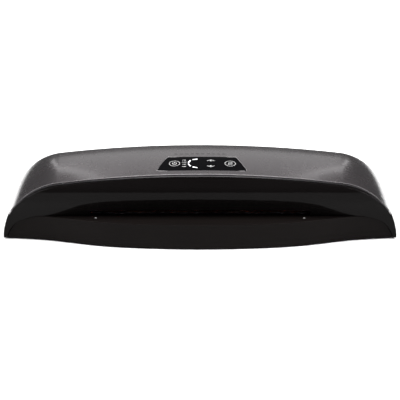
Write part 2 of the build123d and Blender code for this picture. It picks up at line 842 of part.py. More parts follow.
duct_back_y = rear_y - wall - part_gap
with BuildPart() as exit_guide:
    add(wide(slot_half_width + duct_wall, duct_front_y, duct_back_y,
             nip_z - exit_gap / 2 - duct_wall, nip_z + exit_gap / 2 + duct_wall))
    add(wide(frame_x + frame_plate + 1, *duct_lug,
             nip_z - exit_gap / 2 - duct_wall, nip_z + exit_gap / 2 + duct_wall))
    add(wide(slot_half_width, duct_front_y - 1, duct_back_y + 1,
             nip_z - exit_gap / 2, nip_z + exit_gap / 2), mode=Mode.SUBTRACT)
save(exit_guide, "exit_guide")


# ---------------------------------------------------------------- rollers and bearings

journal_end = frame_x + frame_plate + block_flange + 1.2
drive_end = gear_x + gear_face + 1.0
shoulder = frame_x - block_flange - end_gap - 0.5
core_radius = roller_radius - sleeve_wall

for name, y, z in (("hot_shaft_lower", hot_y, lower_z), ("hot_shaft_upper", hot_y, upper_z),
                   ("exit_shaft_lower", exit_y, lower_z),
                   ("exit_shaft_upper", exit_y, upper_z)):
    with BuildPart() as shaft:
        with BuildSketch(Plane.YZ.offset(-shoulder)):
            with Locations((y, z)):
                Circle(core_radius)
        extrude(amount=2 * shoulder)
        with BuildSketch(Plane.YZ.offset(-journal_end)):
            with Locations((y, z)):
                Circle(shaft_radius)
        extrude(amount=journal_end + drive_end)
        chamfer(shaft.faces().sort_by(Axis.X)[-1].edges(), 0.4)
    save(shaft, name)
    with BuildPart() as sleeve:
        with BuildSketch(Plane.YZ.offset(-sleeve_half_length)):
            with Locations((y, z)):
                Circle(roller_radius)
                Circle(core_radius, mode=Mode.SUBTRACT)
        extrude(amount=2 * sleeve_half_length)
        chamfer(sleeve.edges().filter_by(GeomType.CIRCLE).filter_by(
            lambda e: e.radius > core_radius + 1), 0.5)
    save(sleeve, name.replace("shaft", "sleeve"))

with BuildPart() as shaft_bushes:
    for side in (-1, 1):
        flange_x = side * frame_x - (0 if side < 0 else bush_flange)
        with BuildSketch(Plane.YZ.offset(flange_x)):
            with Locations((hot_y, lower_z), (exit_y, lower_z)):
                Circle(bush_outer + bush_flange)
                Circle(shaft_radius + running_fit, mode=Mode.SUBTRACT)
        extrude(amount=bush_flange)
        with BuildSketch(Plane.YZ.offset(side * frame_x - (frame_plate if side < 0 else 0))):
            with Locations((hot_y, lower_z), (exit_y, lower_z)):
                Circle(bush_outer)
                Circle(shaft_radius + running_fit, mode=Mode.SUBTRACT)
        extrude(amount=frame_plate)
save(shaft_bushes, "shaft_bushes")

for name, y in (("hot_bearing_blocks", hot_y), ("exit_bearing_blocks", exit_y)):
    with BuildPart() as blocks:
        for side in (-1, 1):
            x_inner = side * (frame_x - end_gap - block_flange)
            x_outer = side * (frame_x + frame_plate + end_gap + block_flange)
            neck_half = block_width / 2 - block_fit
            low, high = min(x_inner, x_outer), max(x_inner, x_outer)
            add(slab(low, high, y - neck_half, y + neck_half,
                     upper_z - block_half_height, upper_z + block_half_height))
            for edge in (x_inner, x_outer - side * block_flange):
                flange_low = edge if side > 0 else edge - block_flange
                add(slab(flange_low, flange_low + block_flange,
                         y - neck_half - 2, y + neck_half + 2,
                         upper_z - block_half_height, upper_z + block_half_height))
            with BuildSketch(Plane.YZ.offset(low - 1)):
                with Locations((y, upper_z)):
                    Circle(shaft_radius + running_fit)
            extrude(amount=high - low + 2, mode=Mode.SUBTRACT)
    save(blocks, name)

for name, y in (("hot_springs", hot_y), ("exit_springs", exit_y)):
    with BuildPart() as springs:
        for side in (-1, 1):
            spring_x = side * (frame_x + frame_plate / 2)
            spring_low = upper_z + block_half_height + spring_wire + running_fit
            height = spring_length - 2 * spring_wire - 2 * running_fit
            base = Plane(origin=(spring_x, y, spring_low))
            with BuildLine(base) as coil:
                Helix(pitch=height / spring_turns, height=height, radius=spring_radius)
            start = coil.wires()[0] @ 0
            tangent = coil.wires()[0] % 0
            with BuildSketch(Plane(origin=start, z_dir=tangent)):
                Circle(spring_wire)
            sweep(path=coil.wires()[0], is_frenet=True)
    save(springs, name)


# ---------------------------------------------------------------- gears and motor

def tooth_face(teeth):
    """One involute tooth along +X, from inside the root circle to the tip."""
    pitch_radius = module * teeth / 2
    base_radius = pitch_radius * math.cos(math.radians(20))
    tip_radius = pitch_radius + addendum * module
    root_radius = pitch_radius - (addendum + 0.25) * module
    involute = math.tan(math.radians(20)) - math.radians(20)
    half_angle = math.pi / (2 * teeth) + involute - tooth_play / (2 * pitch_radius)
    flank = []
    for step in range(4):
        radius = base_radius + (tip_radius - base_radius) * step / 3
        pressure = math.acos(min(1.0, base_radius / radius))
        angle = half_angle - math.tan(pressure) + pressure
        flank.append((radius * math.cos(angle), radius * math.sin(angle)))
    inner = root_radius - 0.3
    foot = (inner * math.cos(half_angle), inner * math.sin(half_angle))
    with BuildSketch() as tooth:
        with BuildLine():
            Line(foot, flank[0])
            Spline(*flank)
            ThreePointArc(flank[-1], (tip_radius, 0), (flank[-1][0], -flank[-1][1]))
            Spline(*[(x, -y) for x, y in reversed(flank)])
            Line((flank[0][0], -flank[0][1]), (foot[0], -foot[1]))
            Line((foot[0], -foot[1]), foot)
        make_face()
    return tooth.sketch


def gear(name, teeth, y, z, first_angle, bore):
    """A spur gear on an X axis, with one tooth centred on the first angle."""
    root_radius = module * teeth / 2 - (addendum + 0.25) * module
    tooth = tooth_face(teeth)
    with BuildPart() as wheel:
        with BuildSketch(Plane.YZ.offset(gear_x)):
            with Locations((y, z)):
                Circle(root_radius)
                with PolarLocations(0, teeth, start_angle=first_angle):
                    add(tooth)
                Circle(bore, mode=Mode.SUBTRACT)
        extrude(amount=gear_face)
    save(wheel, name)


def mate_angle(first_angle, teeth, mate_teeth, heading):
    """First tooth angle of a gear that meshes with another, seen along a heading."""
    offset = (teeth * (first_angle - heading) + 180) / mate_teeth
    return heading + 180 - offset


lower_hot_angle = 0.0
upper_hot_angle = mate_angle(lower_hot_angle, roller_teeth, roller_teeth, 90)
idler_teeth = round(2 * (stud_y - hot_y) / module) - roller_teeth
idler_angle = mate_angle(lower_hot_angle, roller_teeth, idler_teeth, 0)
lower_exit_angle = mate_angle(idler_angle, idler_teeth, roller_teeth, 0)
upper_exit_angle = mate_angle(lower_exit_angle, roller_teeth, roller_teeth, 90)
pinion_step = module * (roller_teeth + pinion_teeth) / 2
motor_y = exit_y + pinion_step * math.cos(math.radians(pinion_angle))
motor_z = lower_z + pinion_step * math.sin(math.radians(pinion_angle))
pinion_first = mate_angle(lower_exit_angle, roller_teeth, pinion_teeth, pinion_angle)

gear("hot_gear_lower", roller_teeth, hot_y, lower_z, lower_hot_angle, shaft_radius)
gear("hot_gear_upper", roller_teeth, hot_y, upper_z, upper_hot_angle, shaft_radius)
gear("idler_gear", idler_teeth, stud_y, lower_z, idler_angle, stud_radius + running_fit)
gear("exit_gear_lower", roller_teeth, exit_y, lower_z, lower_exit_angle, shaft_radius)
gear("exit_gear_upper", roller_teeth, exit_y, upper_z, upper_exit_angle, shaft_radius)
gear("motor_pinion", pinion_teeth, motor_y, motor_z, pinion_first, stud_radius)

with BuildPart() as idler_stud:
    with BuildSketch(Plane.YZ.offset(frame_x + frame_plate)):
        with Locations((stud_y, lower_z)):
            Circle(stud_radius + 1.5)
    extrude(amount=gear_x - frame_x - frame_plate - end_gap)
    with BuildSketch(Plane.YZ.offset(frame_x + frame_plate)):
        with Locations((stud_y, lower_z)):
            Circle(stud_radius)
    extrude(amount=gear_x + gear_face + end_gap - frame_x - frame_plate)
    with BuildSketch(Plane.YZ.offset(gear_x + gear_face + end_gap)):
        with Locations((stud_y, lower_z)):
            Circle(stud_radius + 1.5)
    extrude(amount=1)
save(idler_stud, "idler_stud")

bracket_x = gear_x + gear_face + 2.0
with BuildPart() as motor_bracket:
    with BuildSketch(Plane.YZ.offset(bracket_x)) as bracket_face:
        with Locations(((standoff_places[0][0] + standoff_places[1][0]) / 2,
                        (standoff_places[1][1] + standoff_places[3][1]) / 2)):
            Rectangle(standoff_places[1][0] - standoff_places[0][0] + 4 * standoff_radius,
                      standoff_places[1][1] - standoff_places[3][1] + 4 * standoff_radius)
        fillet(bracket_face.vertices(), 4)
        with Locations((motor_y, motor_z)):
            Circle(stud_radius + 4, mode=Mode.SUBTRACT)
        with Locations(*standoff_places):
            Circle(screw_radius + 0.1, mode=Mode.SUBTRACT)
    extrude(amount=bracket_plate)
save(motor_bracket, "motor_bracket")

with BuildPart() as bracket_standoffs:
    with BuildSketch(Plane.YZ.offset(frame_x + frame_plate)):
        with Locations(*standoff_places):
            Circle(standoff_radius)
            Circle(screw_radius + running_fit, mode=Mode.SUBTRACT)
    extrude(amount=bracket_x - frame_x - frame_plate)
save(bracket_standoffs, "bracket_standoffs")

with BuildPart() as gear_motor:
    with BuildSketch(Plane.YZ.offset(bracket_x + bracket_plate)):
        with Locations((motor_y, motor_z + motor_offset)):
            Circle(motor_radius)
    extrude(amount=gearbox_depth)
    with BuildSketch(Plane.YZ.offset(bracket_x + bracket_plate + gearbox_depth)):
        with Locations((motor_y, motor_z + motor_offset)):
            Circle(motor_radius - 1.5)
    extrude(amount=motor_depth)
    chamfer(gear_motor.faces().sort_by(Axis.X)[-1].edges(), 1)
save(gear_motor, "gear_motor")

with BuildPart() as motor_shaft:
    with BuildSketch(Plane.YZ.offset(gear_x - 1)):
        with Locations((motor_y, motor_z)):
            Circle(stud_radius)
    extrude(amount=bracket_x + bracket_plate - gear_x + 1 - running_fit)
save(motor_shaft, "motor_shaft")


# ---------------------------------------------------------------- electrics

board_mid_y = board_back_y - power_board_length / 2
board_hole_inset = 4.0
with BuildPart() as power_board:
    with BuildSketch(Plane.XY.offset(power_board_z)):
        with Locations((power_board_x, board_mid_y)):
            RectangleRounded(power_board_width, power_board_length, 2)
            with GridLocations(power_board_width - 2 * board_hole_inset,
                               power_board_length - 2 * board_hole_inset, 2, 2):
                Circle(screw_radius + 0.1, mode=Mode.SUBTRACT)
    extrude(amount=board_thickness)
save(power_board, "power_board")

with BuildPart() as board_stands:
    with BuildSketch(Plane.XY.offset(floor_top)):
        with Locations((power_board_x, board_mid_y)):
            with GridLocations(power_board_width - 2 * board_hole_inset,
                               power_board_length - 2 * board_hole_inset, 2, 2):
                Circle(2 * screw_radius)
                Circle(screw_radius + running_fit, mode=Mode.SUBTRACT)
    extrude(amount=power_board_z - floor_top)
save(board_stands, "board_stands")

board_top = power_board_z + board_thickness


def on_board(place, size):
    """A component box standing on the power board at a place from its middle."""
    x = power_board_x + place[0]
    y = board_mid_y + place[1]
    return slab(x - size[0] / 2, x + size[0] / 2, y - size[1] / 2, y + size[1] / 2,
                board_top, board_top + size[2])


with BuildPart() as transformer:
    add(on_board(transformer_place, transformer_size))
    chamfer(transformer.edges().filter_by(Axis.Z), 2)
save(transformer, "transformer")

with BuildPart() as board_parts:
    with BuildSketch(Plane.XY.offset(board_top)):
        with Locations((power_board_x, board_mid_y)):
            with Locations(*capacitor_places):
                Circle(capacitor_radius)
    extrude(amount=capacitor_height)
    add(on_board(relay_place, relay_size))
    add(on_board(filter_place, filter_size))
save(board_parts, "board_parts")


# ---------------------------------------------------------------- fasteners

with BuildPart() as case_screws:
    with BuildSketch(Plane.XY.offset(foot_height + screw_recess - screw_head_height)):
        with Locations(*post_places):
            Circle(screw_head_radius)
    extrude(amount=screw_head_height)
    with BuildSketch(Plane.XY.offset(foot_height + screw_recess)):
        with Locations(*post_places):
            Circle(screw_radius)
    extrude(amount=post_foot_z - foot_height - screw_recess + screw_bite)
save(case_screws, "case_screws")

with BuildPart() as frame_screws:
    for side in (-1, 1):
        start = side * (frame_x + frame_plate)
        with BuildSketch(Plane.YZ.offset(start)):
            with Locations(*tie_places):
                Circle(screw_head_radius)
        extrude(amount=side * screw_head_height)
        with BuildSketch(Plane.YZ.offset(start)):
            with Locations(*tie_places):
                Circle(screw_radius)
        extrude(amount=-side * screw_bite)
save(frame_screws, "frame_screws")

with BuildPart() as bracket_screws:
    with BuildSketch(Plane.YZ.offset(bracket_x + bracket_plate)):
        with Locations(*standoff_places):
            Circle(screw_head_radius)
    extrude(amount=screw_head_height)
    with BuildSketch(Plane.YZ.offset(bracket_x + bracket_plate)):
        with Locations(*standoff_places):
            Circle(screw_radius)
    extrude(amount=-8)
save(bracket_screws, "bracket_screws")
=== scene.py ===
import json
import math

import bmesh
import bpy
from bpy.props import FloatProperty, FloatVectorProperty, PointerProperty
from mathutils import Matrix, Vector
from mathutils.geometry import convex_hull_2d

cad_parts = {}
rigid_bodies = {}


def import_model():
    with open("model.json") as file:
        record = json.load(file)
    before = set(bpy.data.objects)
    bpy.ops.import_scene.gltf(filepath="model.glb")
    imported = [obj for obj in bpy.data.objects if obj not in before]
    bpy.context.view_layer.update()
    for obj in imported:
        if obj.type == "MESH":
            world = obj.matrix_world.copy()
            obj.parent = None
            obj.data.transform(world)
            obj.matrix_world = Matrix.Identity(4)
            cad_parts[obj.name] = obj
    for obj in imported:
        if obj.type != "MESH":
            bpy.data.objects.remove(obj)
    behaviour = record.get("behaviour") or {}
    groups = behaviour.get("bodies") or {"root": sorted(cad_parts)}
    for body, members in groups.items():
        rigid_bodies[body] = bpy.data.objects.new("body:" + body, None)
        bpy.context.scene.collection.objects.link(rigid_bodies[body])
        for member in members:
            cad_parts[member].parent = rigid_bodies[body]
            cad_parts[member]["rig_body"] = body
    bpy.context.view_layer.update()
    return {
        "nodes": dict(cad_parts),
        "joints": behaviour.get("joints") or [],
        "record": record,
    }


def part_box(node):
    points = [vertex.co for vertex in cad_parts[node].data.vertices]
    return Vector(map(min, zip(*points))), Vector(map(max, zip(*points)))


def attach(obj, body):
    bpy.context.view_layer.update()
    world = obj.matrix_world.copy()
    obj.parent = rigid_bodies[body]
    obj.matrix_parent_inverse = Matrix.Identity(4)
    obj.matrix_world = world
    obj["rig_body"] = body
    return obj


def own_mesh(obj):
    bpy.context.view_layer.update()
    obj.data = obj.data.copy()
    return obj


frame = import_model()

MM = 0.001

bl_info = {
    "name": "Pouch Laminator",
    "version": (1, 0, 0),
    "blender": (4, 5, 0),
    "location": "View3D > Sidebar > Laminator",
    "description": "Dresses the laminator's frame with finished surfaces, legends and a stage",
    "category": "Object",
}

NODES = frame["nodes"]
JOINTS = {joint["name"]: joint for joint in frame["joints"]}


# ---------------------------------------------------------------- settings


class CasingSettings(bpy.types.PropertyGroup):
    """Colours and surface of the outer casing."""

    cover_colour: FloatVectorProperty(
        name="Cover", description="Gunmetal paint of the top cover", subtype="COLOR",
        size=3, min=0, max=1, default=(0.092, 0.083, 0.087))
    cover_roughness: FloatProperty(
        name="Cover roughness", description="How soft the cover's reflections are",
        subtype="FACTOR", min=0, max=1, default=0.27)
    flake_size: FloatProperty(
        name="Flake size", description="Width of one flake in the metallic paint",
        subtype="DISTANCE", unit="LENGTH", default=0.35 * MM)
    # Painted highlight: a colour several times lighter than the cover's paint, laid on the
    # cover's front lip and on the rim round the control panel in place of the light their
    # edges catch.
    painted_highlight_colour: FloatVectorProperty(
        name="Rolled edge", description="Bright lip along the cover's front edge",
        subtype="COLOR", size=3, min=0, max=1, default=(0.50, 0.48, 0.49))
    edge_radius: FloatProperty(
        name="Edge radius", description="Radius of the rolled lip",
        subtype="DISTANCE", unit="LENGTH", default=0.75 * MM)
    rim_radius: FloatProperty(
        name="Rim radius", description="Radius of the rim round the control panel",
        subtype="DISTANCE", unit="LENGTH", default=0.35 * MM)
    gloss_colour: FloatVectorProperty(
        name="Fascia", description="Piano black of the front fascia", subtype="COLOR",
        size=3, min=0, max=1, default=(0.0035, 0.003, 0.003))
    gloss_reflection: FloatProperty(
        name="Fascia reflection", description="Strength of the fascia's reflections",
        subtype="FACTOR", min=0, max=1, default=0.05)
    satin_reflection: FloatProperty(
        name="Satin reflection", description="Strength of the satin mouldings' sheen",
        subtype="FACTOR", min=0, max=1, default=0.05)
    satin_colour: FloatVectorProperty(
        name="Satin black", description="Moulded shelf, base and rear panel",
        subtype="COLOR", size=3, min=0, max=1, default=(0.0042, 0.0032, 0.0030))


class LegendSettings(bpy.types.PropertyGroup):
    """Sizes of the printed legends and lights on the control panel."""

    ink_colour: FloatVectorProperty(
        name="Ink", description="Printed legends", subtype="COLOR",
        size=3, min=0, max=1, default=(0.62, 0.62, 0.62))
    ink_thickness: FloatProperty(
        name="Ink thickness", description="Height of a print above its surface",
        subtype="DISTANCE", unit="LENGTH", default=0.04 * MM)
    ring_radius: FloatProperty(
        name="Ring radius", description="Outer radius of the rings on the large keys",
        subtype="DISTANCE", unit="LENGTH", default=8.1 * MM)
    arrow_size: FloatProperty(
        name="Arrow size", description="Length of each arm of the up and down signs",
        subtype="DISTANCE", unit="LENGTH", default=6.6 * MM)
    row_x: FloatProperty(
        name="Rows", description="Place of the level legends across the panel",
        subtype="DISTANCE", unit="LENGTH", default=-25.4 * MM)
    row_pitch: FloatProperty(
        name="Row pitch", description="Spacing of the level legends",
        subtype="DISTANCE", unit="LENGTH", default=6.6 * MM)
    row_widths: FloatVectorProperty(
        name="Row widths", description="Length of each level legend", size=4,
        unit="LENGTH", default=(3.6 * MM, 4.4 * MM, 3.6 * MM, 4.0 * MM))
    mark_x: FloatProperty(
        name="Mark place", description="Distance of each sheet mark from the middle",
        subtype="DISTANCE", unit="LENGTH", default=154.0 * MM)
    mark_y: FloatProperty(
        name="Mark depth", description="Place of the sheet marks on the shelf",
        subtype="DISTANCE", unit="LENGTH", default=-49.0 * MM)
    mark_radius: FloatProperty(
        name="Mark size", description="Radius round a sheet mark",
        subtype="DISTANCE", unit="LENGTH", default=2.2 * MM)
    ring_width: FloatProperty(
        name="Ring width", description="Stroke of the rings round the two large keys",
        subtype="DISTANCE", unit="LENGTH", default=0.55 * MM)
    stroke: FloatProperty(
        name="Stroke", description="Stroke of the small signs",
        subtype="DISTANCE", unit="LENGTH", default=0.75 * MM)
    light_strength: FloatProperty(
        name="Light", description="Glow of the lit bars", min=0, default=1.1)


class StageSettings(bpy.types.PropertyGroup):
    """Floor, lights and camera."""

    floor_colour: FloatVectorProperty(
        name="Floor", description="Plain pale floor", subtype="COLOR",
        size=3, min=0, max=1, default=(0.90, 0.90, 0.90))
    floor_size: FloatProperty(
        name="Floor size", description="Side of the floor", subtype="DISTANCE",
        unit="LENGTH", default=40.0)
    camera_height: FloatProperty(
        name="Camera height", description="Height of the camera over the floor",
        subtype="DISTANCE", unit="LENGTH", default=0.6563)
    camera_distance: FloatProperty(
        name="Camera distance", description="Distance in front of the machine's middle",
        subtype="DISTANCE", unit="LENGTH", default=1.8662)
    camera_tilt: FloatProperty(
        name="Camera tilt", description="How far the camera looks down",
        subtype="ANGLE", default=math.radians(18))
    camera_lens: FloatProperty(
        name="Lens", description="Focal length on a 36 mm sensor", default=117.0)
    world_light: FloatProperty(
        name="Room light", description="Faint even light of the dark studio", min=0,
        default=0.10)


# ---------------------------------------------------------------- node helpers


def new_material(name):
    """An empty node material and its shader and output."""
    material = bpy.data.materials.new(name)
    material.use_nodes = True
    tree = material.node_tree
    shader = next(n for n in tree.nodes if n.type == "BSDF_PRINCIPLED")
    return material, tree, shader


def node(tree, kind, **values):
    """A node with its named properties or inputs set."""
    made = tree.nodes.new(kind)
    for key, value in values.items():
        if key in made.inputs:
            made.inputs[key].default_value = value
        else:
            setattr(made, key, value)
    return made


def object_coordinates(tree, scale):
    """Object coordinates, stretched by a scale on each axis."""
    place = node(tree, "ShaderNodeTexCoord")
    mapping = node(tree, "ShaderNodeMapping", Scale=scale)
    tree.links.new(place.outputs["Object"], mapping.inputs["Vector"])
    return mapping.outputs["Vector"]


def noise(tree, vector, scale, detail=2.0, roughness=0.5):
    """Noise read at a vector."""
    made = node(tree, "ShaderNodeTexNoise", Scale=scale, Detail=detail, Roughness=roughness)
    tree.links.new(vector, made.inputs["Vector"])
    return made.outputs["Fac"]


def ramp(tree, source, low, high, at_low=0.0, at_high=1.0):
    """A colour ramp between two colours or greys."""
    made = node(tree, "ShaderNodeValToRGB")
    for element, place, value in zip(made.color_ramp.elements, (at_low, at_high),
                                     (low, high)):
        element.position = place
        element.color = (*value, 1) if hasattr(value, "__len__") else (value,) * 3 + (1,)
    tree.links.new(source, made.inputs["Fac"])
    return made.outputs["Color"]


def bump(tree, shader, height, strength, distance):
    """Drives a shader's normal with a height."""
    made = node(tree, "ShaderNodeBump", Strength=strength, Distance=distance)
    tree.links.new(height, made.inputs["Height"])
    tree.links.new(made.outputs["Normal"], shader.inputs["Normal"])


def shade(colour, factor):
    """A colour made lighter or darker."""
    return tuple(min(1.0, c * factor) for c in colour)


# ---------------------------------------------------------------- materials


def gunmetal(settings):
    """Metallic paint: fine flake, a soft tone drift and a thin clear coat."""
    material, tree, shader = new_material("gunmetal_paint")
    colour = tuple(settings.cover_colour)
    flake_vector = object_coordinates(tree, (1, 1, 1))
    flake = node(tree, "ShaderNodeTexVoronoi", Scale=1 / settings.flake_size)
    tree.links.new(flake_vector, flake.inputs["Vector"])
    drift = noise(tree, flake_vector, 14.0, 3.0)
    tone = ramp(tree, drift, shade(colour, 0.94), shade(colour, 1.06), 0.35, 0.65)
    sparkle = ramp(tree, flake.outputs["Color"], 0.93, 1.07, 0.2, 0.8)
    mix = node(tree, "ShaderNodeMix", data_type="RGBA", blend_type="MULTIPLY")
    mix.inputs["Factor"].default_value = 1.0
    tree.links.new(tone, mix.inputs["A"])
    tree.links.new(sparkle, mix.inputs["B"])
    tree.links.new(mix.outputs["Result"], shader.inputs["Base Color"])
    haze = noise(tree, flake_vector, 60.0, 2.0)
    rough = settings.cover_roughness
    tree.links.new(ramp(tree, haze, rough * 0.95, rough * 1.06), shader.inputs["Roughness"])
    shader.inputs["Metallic"].default_value = 0.85
    shader.inputs["Coat Weight"].default_value = 0.35
    shader.inputs["Coat Roughness"].default_value = 0.12
    bump(tree, shader, flake.outputs["Distance"], 0.02, 0.02 * MM)
    return material


def painted_highlight_edge(settings):
    """Painted highlight for the cover's front lip and the panel rim: a light metal with a fine
    lengthwise grain.
    """
    material, tree, shader = new_material("painted_highlight_edge")
    # The lighter colour is painted highlight, not a different metal.
    colour = tuple(settings.painted_highlight_colour)
    grain = noise(tree, object_coordinates(tree, (6, 400, 400)), 1.0)
    tree.links.new(ramp(tree, grain, shade(colour, 0.9), shade(colour, 1.1)),
                   shader.inputs["Base Color"])
    shader.inputs["Metallic"].default_value = 0.9
    shader.inputs["Roughness"].default_value = 0.3
    bump(tree, shader, grain, 0.05, 0.02 * MM)
    return material


def piano_black(settings):
    """Deep gloss moulding with faint polishing haze."""
    material, tree, shader = new_material("piano_black")
    colour = tuple(settings.gloss_colour)
    vector = object_coordinates(tree, (1, 1, 1))
    tree.links.new(ramp(tree, noise(tree, vector, 9.0, 4.0), shade(colour, 0.8),
                        shade(colour, 1.3)), shader.inputs["Base Color"])
    tree.links.new(ramp(tree, noise(tree, vector, 35.0, 5.0, 0.6), 0.05, 0.085, 0.3, 0.7),
                   shader.inputs["Roughness"])
    shader.inputs["Specular IOR Level"].default_value = settings.gloss_reflection
    bump(tree, shader, noise(tree, vector, 22.0, 1.0), 0.015, 0.1 * MM)
    return material


def satin_black(settings):
    """Moulded black plastic with a fine spark texture."""
    material, tree, shader = new_material("satin_black")
    colour = tuple(settings.satin_colour)
    vector = object_coordinates(tree, (1, 1, 1))
    tree.links.new(ramp(tree, noise(tree, vector, 12.0, 3.0), shade(colour, 0.9),
                        shade(colour, 1.15)), shader.inputs["Base Color"])
    shader.inputs["Specular IOR Level"].default_value = settings.satin_reflection
    grain = noise(tree, vector, 2600.0, 2.0, 0.6)
    tree.links.new(ramp(tree, grain, 0.38, 0.52, 0.3, 0.7), shader.inputs["Roughness"])
    bump(tree, shader, grain, 0.12, 0.03 * MM)
    return material


def moulded(name, colour, roughness, grain_scale=900.0, metallic=0.0, depth=0.08,
            reflection=0.5):
    """A general moulded, turned or painted finish with fine grain and tone drift."""
    material, tree, shader = new_material(name)
    vector = object_coordinates(tree, (1, 1, 1))
    tree.links.new(ramp(tree, noise(tree, vector, 30.0, 3.0), shade(colour, 0.88),
                        shade(colour, 1.12)), shader.inputs["Base Color"])
    grain = noise(tree, vector, grain_scale, 3.0)
    tree.links.new(ramp(tree, grain, roughness * 0.85, min(1.0, roughness * 1.15)),
                   shader.inputs["Roughness"])
    shader.inputs["Metallic"].default_value = metallic
    shader.inputs["Specular IOR Level"].default_value = reflection
    if reflection < 0.1:
        shader.inputs["IOR"].default_value = 1.12
    bump(tree, shader, grain, depth, 0.03 * MM)
    return material


def brushed(name, colour, roughness, stretch):
    """Metal with fine lines drawn out along one axis."""
    material, tree, shader = new_material(name)
    lines = noise(tree, object_coordinates(tree, stretch), 1.0, 4.0, 0.7)
    tree.links.new(ramp(tree, lines, shade(colour, 0.85), shade(colour, 1.1), 0.3, 0.7),
                   shader.inputs["Base Color"])
    tree.links.new(ramp(tree, lines, roughness * 0.8, roughness * 1.25),
                   shader.inputs["Roughness"])
    shader.inputs["Metallic"].default_value = 1.0
    bump(tree, shader, lines, 0.1, 0.02 * MM)
    return material


def glowing(name, colour, strength):
    """Frosted white plastic, softly lit from behind."""
    material, tree, shader = new_material(name)
    cloud = noise(tree, object_coordinates(tree, (1, 1, 1)), 700.0, 2.0)
    tint = ramp(tree, cloud, shade(colour, 0.95), colour)
    tree.links.new(tint, shader.inputs["Base Color"])
    tree.links.new(tint, shader.inputs["Emission Color"])
    shader.inputs["Emission Strength"].default_value = strength
    shader.inputs["Roughness"].default_value = 0.35
    return material


def printed_board():
    """Green solder mask with faint copper tracks under it."""
    material, tree, shader = new_material("solder_mask")
    tracks = node(tree, "ShaderNodeTexBrick", Scale=90.0, **{"Mortar Size": 0.08})
    tree.links.new(object_coordinates(tree, (1, 1, 0.001)), tracks.inputs["Vector"])
    tracks.inputs["Color1"].default_value = (0.010, 0.090, 0.035, 1)
    tracks.inputs["Color2"].default_value = (0.012, 0.100, 0.040, 1)
    tracks.inputs["Mortar"].default_value = (0.030, 0.170, 0.070, 1)
    tree.links.new(tracks.outputs["Color"], shader.inputs["Base Color"])
    shader.inputs["Roughness"].default_value = 0.3
    bump(tree, shader, tracks.outputs["Fac"], 0.1, 0.05 * MM)
    return material


def printed_ink(settings):
    """Flat white print with a slightly uneven edge tone."""
    material, tree, shader = new_material("legend_ink")
    colour = tuple(settings.ink_colour)
    patch = noise(tree, object_coordinates(tree, (1, 1, 1)), 1800.0, 2.0)
    tree.links.new(ramp(tree, patch, shade(colour, 0.88), colour),
                   shader.inputs["Base Color"])
    tree.links.new(ramp(tree, patch, 0.45, 0.6), shader.inputs["Roughness"])
    return material


def material_table(casing, legends):
    """One finished material for each of the record's material slots."""
    return {
        "cover_metallic": gunmetal(casing),
        "fascia_gloss": piano_black(casing),
        "case_satin": satin_black(casing),
        "trim_grey": moulded("trim_grey", (0.10, 0.095, 0.10), 0.34, metallic=0.6),
        "rubber_black": moulded("rubber_black", (0.012, 0.012, 0.012), 0.75, 1400.0),
        "silicone_red": moulded("silicone_red", (0.30, 0.045, 0.025), 0.5, 500.0),
        "steel_plate": brushed("steel_plate", (0.52, 0.53, 0.55), 0.34, (8, 700, 700)),
        "steel_ground": brushed("steel_ground", (0.62, 0.62, 0.64), 0.18, (2500, 40, 40)),
        "spring_wire": brushed("spring_wire", (0.45, 0.45, 0.47), 0.25, (900, 900, 60)),
        "alloy": brushed("alloy", (0.72, 0.73, 0.75), 0.3, (8, 500, 500)),
        "acetal_white": moulded("acetal_white", (0.70, 0.69, 0.64), 0.38, 800.0),
        "bronze": moulded("bronze", (0.45, 0.27, 0.10), 0.35, 1500.0, 0.9),
        "lens_black": moulded("lens_black", (0.0028, 0.0028, 0.0032), 0.12, 60.0, 0, 0.01,
                              0.05),
        "key_black": moulded("key_black", (0.0034, 0.0034, 0.0038), 0.14, 60.0, 0, 0.01,
                             0.05),
        "light_white": glowing("light_white", (0.95, 0.97, 1.0), legends.light_strength),
        "board_green": printed_board(),
        "part_dark": moulded("part_dark", (0.018, 0.018, 0.02), 0.45, 1100.0),
        "mica_sheet": moulded("mica_sheet", (0.36, 0.28, 0.17), 0.55, 300.0),
    }


# ---------------------------------------------------------------- mesh helpers


def only(piece):
    """Leaves one object selected and active, in object mode."""
    if bpy.context.mode != "OBJECT":
        bpy.ops.object.mode_set(mode="OBJECT")
    bpy.ops.object.select_all(action="DESELECT")
    piece.select_set(True)
    bpy.context.view_layer.objects.active = piece


def apply_place(piece):
    """Moves an object's place, turn and size into its mesh."""
    only(piece)
    bpy.ops.object.transform_apply(location=True, rotation=True, scale=True)


def body_of_node(name):
    """The body that a CAD node belongs to."""
    return NODES[name]["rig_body"]


def finish_piece(piece, material, body):
    """Gives a piece its material and the body it rides on."""
    piece.data.materials.clear()
    piece.data.materials.append(material)
    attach(piece, body)


def slot_of(name):
    """The record's material slot of a CAD node."""
    return next(part["material_slot"] for part in frame["record"]["subparts"]
                if part["node"] == name)


# ---------------------------------------------------------------- control panel places


def panel_turn():
    """The turn from level axes to the control panel's tilted axes."""
    normal = -Vector(JOINTS["power_key_press"]["axis"]).normalized()
    across = Vector((1, 0, 0))
    return Matrix((across, normal.cross(across), normal)).transposed()


def panel_top(name):
    """The middle of a CAD node's top, seen square to the control panel."""
    turn = panel_turn()
    back = turn.transposed()
    flat = [back @ v.co for v in NODES[name].data.vertices]
    across = [p.x for p in flat]
    along = [p.y for p in flat]
    return turn @ Vector(((min(across) + max(across)) / 2, (min(along) + max(along)) / 2,
                          max(p.z for p in flat)))


